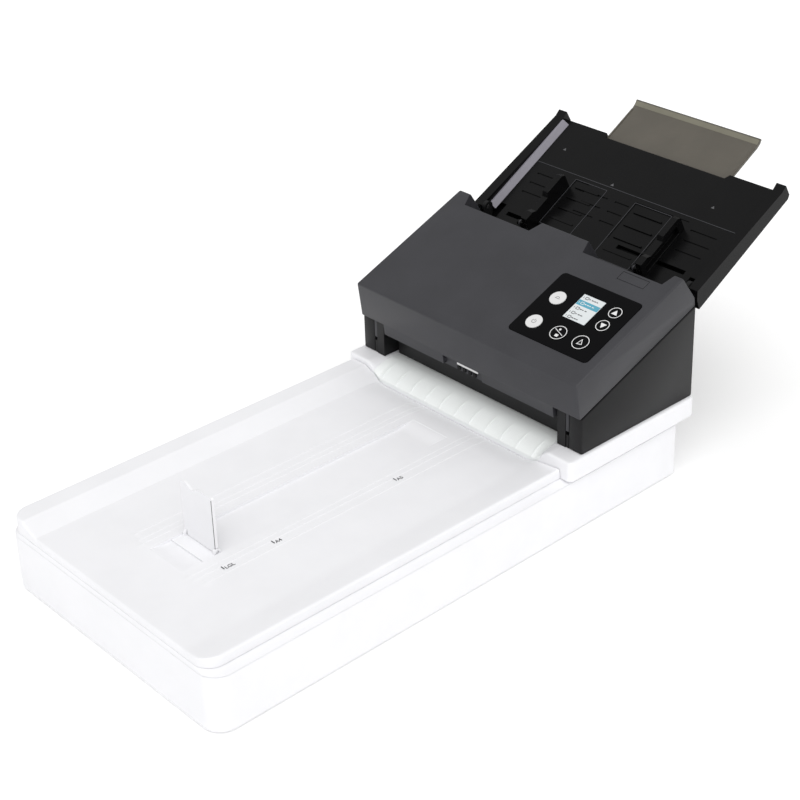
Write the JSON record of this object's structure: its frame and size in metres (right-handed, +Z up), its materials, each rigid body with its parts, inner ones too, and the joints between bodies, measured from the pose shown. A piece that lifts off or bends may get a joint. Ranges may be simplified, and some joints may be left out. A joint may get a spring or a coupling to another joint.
{
  "type": "sheet fed document scanner",
  "caption": "Document scanner: flatbed base whose lid is the output tray, with a sheet feeder, opening cover, control panel and sloping input tray at the rear.",
  "frame": {"origin": "on the table under the middle of the whole scanner's box", "axes": "+Z up, +Y from the lid's front edge to the sheet feeder at the rear, +X to the right seen from the front"},
  "size_m": [0.324, 0.7984, 0.2906],
  "materials": {
    "white_plastic": "satin, fine grain",
    "ramp_plastic": "satin",
    "slate_plastic": "fine textured",
    "black_plastic": "satin",
    "tray_plastic": "satin",
    "smoked_plastic": "translucent smoked",
    "panel_gloss": "piano black",
    "display": "backlit display window",
    "button_white": "satin",
    "button_black": "gloss",
    "glass": "clear",
    "rubber": "matte",
    "steel": "satin",
    "circuit_board": "solder mask",
    "white_foam": "foam sheet",
    "gear_plastic": "acetal",
    "port_metal": "nickel plated"
  },
  "bodies": {
    "base": {"base_housing": "white_plastic", "base_top_frame": "white_plastic", "flatbed_glass": "glass", "foot_front_left": "rubber", "foot_front_right": "rubber", "foot_rear_left": "rubber", "foot_rear_right": "rubber", "guide_rod": "steel", "carriage_motor": "steel", "drive_belt": "rubber", "main_board": "circuit_board", "power_inlet": "port_metal", "usb_port": "port_metal", "adf_plinth": "white_plastic", "exit_ramp": "ramp_plastic", "adf_side_left": "black_plastic", "adf_side_right": "black_plastic", "adf_lower_frame": "black_plastic", "lower_guide": "black_plastic", "lower_sensor": "glass", "adf_motor": "steel", "transport_belt": "rubber", "cover_hinge_pin_left": "steel", "cover_hinge_pin_right": "steel", "lid_pin_front": "steel", "lid_pin_rear": "steel", "tray_hinge_pin_left": "steel", "tray_hinge_pin_right": "steel"},
    "motor_pulley": {"motor_pulley": "gear_plastic"},
    "idler_pulley": {"idler_pulley": "gear_plastic"},
    "carriage": {"scan_carriage": "black_plastic", "flatbed_sensor": "black_plastic"},
    "lid": {"lid_shell": "white_plastic", "lid_backing_pad": "white_foam"},
    "stopper_slider": {"stopper_slider": "white_plastic"},
    "stopper_plate": {"stopper_plate": "white_plastic"},
    "feed_shaft": {"feed_roller": "rubber", "feed_pulley": "gear_plastic"},
    "exit_shaft": {"exit_roller": "rubber", "exit_pulley": "gear_plastic"},
    "adf_motor_pulley": {"adf_motor_pulley": "gear_plastic"},
    "cover": {"cover_shell": "slate_plastic", "cover_inner_guide": "black_plastic", "upper_sensor": "glass", "panel_bezel": "panel_gloss", "lcd_display": "display"},
    "feed_pinch": {"feed_pinch_roller": "rubber"},
    "exit_pinch": {"exit_pinch_roller": "rubber"},
    "latch": {"latch_button": "slate_plastic"},
    "tray": {"input_tray": "tray_plastic"},
    "extension": {"tray_extension": "smoked_plastic"},
    "guide_left": {"paper_guide_left": "tray_plastic"},
    "guide_right": {"paper_guide_right": "tray_plastic"},
    "guide_pinion": {"guide_pinion": "gear_plastic"},
    "wake_button": {"wake_button": "button_white"},
    "power_button": {"power_button": "button_white"},
    "mode_button": {"mode_button": "button_black"},
    "scan_button": {"scan_button": "button_black"},
    "up_button": {"up_button": "button_black"},
    "down_button": {"down_button": "button_black"}
  },
  "joints": [
    {"name": "lid_hinge", "type": "hinge", "parent": "base", "child": "lid", "pos_m": [-0.1507, -0.19915, 0.0686], "axis": [0, -1, 0], "range_deg": [0, 80]},
    {"name": "stopper_slide", "type": "slide", "parent": "lid", "child": "stopper_slider", "axis": [0, 1, 0], "range_m": [-0.012, 0.19]},
    {"name": "stopper_fold", "type": "hinge", "parent": "stopper_slider", "child": "stopper_plate", "pos_m": [0, -0.29115, 0.0716], "axis": [-1, 0, 0], "range_deg": [0, 89]},
    {"name": "carriage_slide", "type": "slide", "parent": "base", "child": "carriage", "axis": [0, 1, 0], "range_m": [0, 0.27]},
    {"name": "motor_pulley_spin", "type": "hinge", "parent": "base", "child": "motor_pulley", "pos_m": [0.04, 0.00485, 0.022], "axis": [0, 0, 1], "continuous": true},
    {"name": "idler_pulley_spin", "type": "hinge", "parent": "base", "child": "idler_pulley", "pos_m": [0.04, -0.35515, 0.022], "axis": [0, 0, 1], "continuous": true},
    {"name": "feed_spin", "type": "hinge", "parent": "base", "child": "feed_shaft", "pos_m": [0, 0.16468, 0.15777], "axis": [1, 0, 0], "continuous": true},
    {"name": "exit_spin", "type": "hinge", "parent": "base", "child": "exit_shaft", "pos_m": [0, 0.06681, 0.12254], "axis": [1, 0, 0], "continuous": true},
    {"name": "adf_motor_spin", "type": "hinge", "parent": "base", "child": "adf_motor_pulley", "pos_m": [0, 0.12085, 0.108], "axis": [1, 0, 0], "continuous": true},
    {"name": "cover_hinge", "type": "hinge", "parent": "base", "child": "cover", "pos_m": [0, 0.05285, 0.108], "axis": [-1, 0, 0], "range_deg": [-80, 0]},
    {"name": "feed_pinch_spin", "type": "hinge", "parent": "cover", "child": "feed_pinch", "pos_m": [0, 0.1573, 0.17711], "axis": [1, 0, 0], "continuous": true},
    {"name": "exit_pinch_spin", "type": "hinge", "parent": "cover", "child": "exit_pinch", "pos_m": [0, 0.06121, 0.13721], "axis": [1, 0, 0], "continuous": true},
    {"name": "wake_button_press", "type": "slide", "parent": "cover", "child": "wake_button", "axis": [0, 0.3672, -0.9302], "range_m": [0, 0.0008], "stiffness_N_per_m": 600},
    {"name": "power_button_press", "type": "slide", "parent": "cover", "child": "power_button", "axis": [0, 0.3672, -0.9302], "range_m": [0, 0.0008], "stiffness_N_per_m": 600},
    {"name": "mode_button_press", "type": "slide", "parent": "cover", "child": "mode_button", "axis": [0, 0.3672, -0.9302], "range_m": [0, 0.0008], "stiffness_N_per_m": 600},
    {"name": "scan_button_press", "type": "slide", "parent": "cover", "child": "scan_button", "axis": [0, 0.3672, -0.9302], "range_m": [0, 0.0008], "stiffness_N_per_m": 600},
    {"name": "up_button_press", "type": "slide", "parent": "cover", "child": "up_button", "axis": [0, 0.3672, -0.9302], "range_m": [0, 0.0008], "stiffness_N_per_m": 600},
    {"name": "down_button_press", "type": "slide", "parent": "cover", "child": "down_button", "axis": [0, 0.3672, -0.9302], "range_m": [0, 0.0008], "stiffness_N_per_m": 600},
    {"name": "latch_press", "type": "slide", "parent": "cover", "child": "latch", "axis": [0, 0.3672, -0.9302], "range_m": [0, 0.002], "stiffness_N_per_m": 500},
    {"name": "tray_hinge", "type": "hinge", "parent": "base", "child": "tray", "pos_m": [0, 0.21682, 0.19998], "axis": [1, 0, 0], "range_deg": [0, 55]},
    {"name": "extension_slide", "type": "slide", "parent": "tray", "child": "extension", "axis": [0, -0.8712, -0.4909], "range_m": [0, 0.05]},
    {"name": "guide_left_slide", "type": "slide", "parent": "tray", "child": "guide_left", "axis": [-1, 0, 0], "range_m": [-0.042, 0.03]},
    {"name": "guide_right_slide", "type": "slide", "parent": "tray", "child": "guide_right", "axis": [-1, 0, 0], "range_m": [-0.03, 0.042]},
    {"name": "guide_pinion_spin", "type": "hinge", "parent": "tray", "child": "guide_pinion", "pos_m": [0, 0.23362, 0.19257], "axis": [0, -0.4909, 0.8712], "continuous": true}
  ],
  "couplings": [
    {"joint": "motor_pulley_spin", "follows": "carriage_slide", "rad_per_m": -166.67},
    {"joint": "idler_pulley_spin", "follows": "carriage_slide", "rad_per_m": -166.67},
    {"joint": "exit_spin", "follows": "feed_spin", "ratio": 1},
    {"joint": "adf_motor_spin", "follows": "feed_spin", "ratio": 1.25},
    {"joint": "guide_right_slide", "follows": "guide_left_slide", "ratio": -1},
    {"joint": "guide_pinion_spin", "follows": "guide_left_slide", "rad_per_m": 250}
  ]
}
